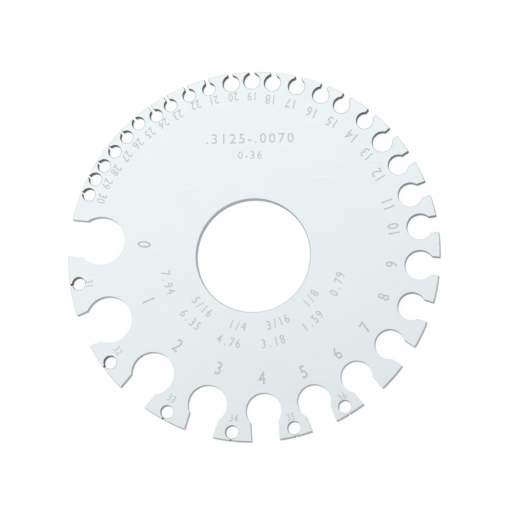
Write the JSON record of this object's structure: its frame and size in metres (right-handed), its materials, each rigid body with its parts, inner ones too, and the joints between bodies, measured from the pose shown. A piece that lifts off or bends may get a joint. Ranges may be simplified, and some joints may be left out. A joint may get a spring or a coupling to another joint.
{
  "type": "sheet metal gauge",
  "caption": "Flat round steel plate with graded notches in its rim for reading the gauge number of sheet metal, and a round hole in the middle.",
  "frame": {"origin": "on the axis of the centre hole, at the back face, which lies on the surface below it", "axes": "+Z out of the numbered face, +X to the right and +Y up as that face is looked at, with gauge 0 on the left"},
  "size_m": [0.0794, 0.0794, 0.0024],
  "materials": {
    "ground_steel": "satin, with stamped numbers"
  },
  "bodies": {
    "root": {"gauge_plate": "ground_steel"}
  },
  "joints": []
}
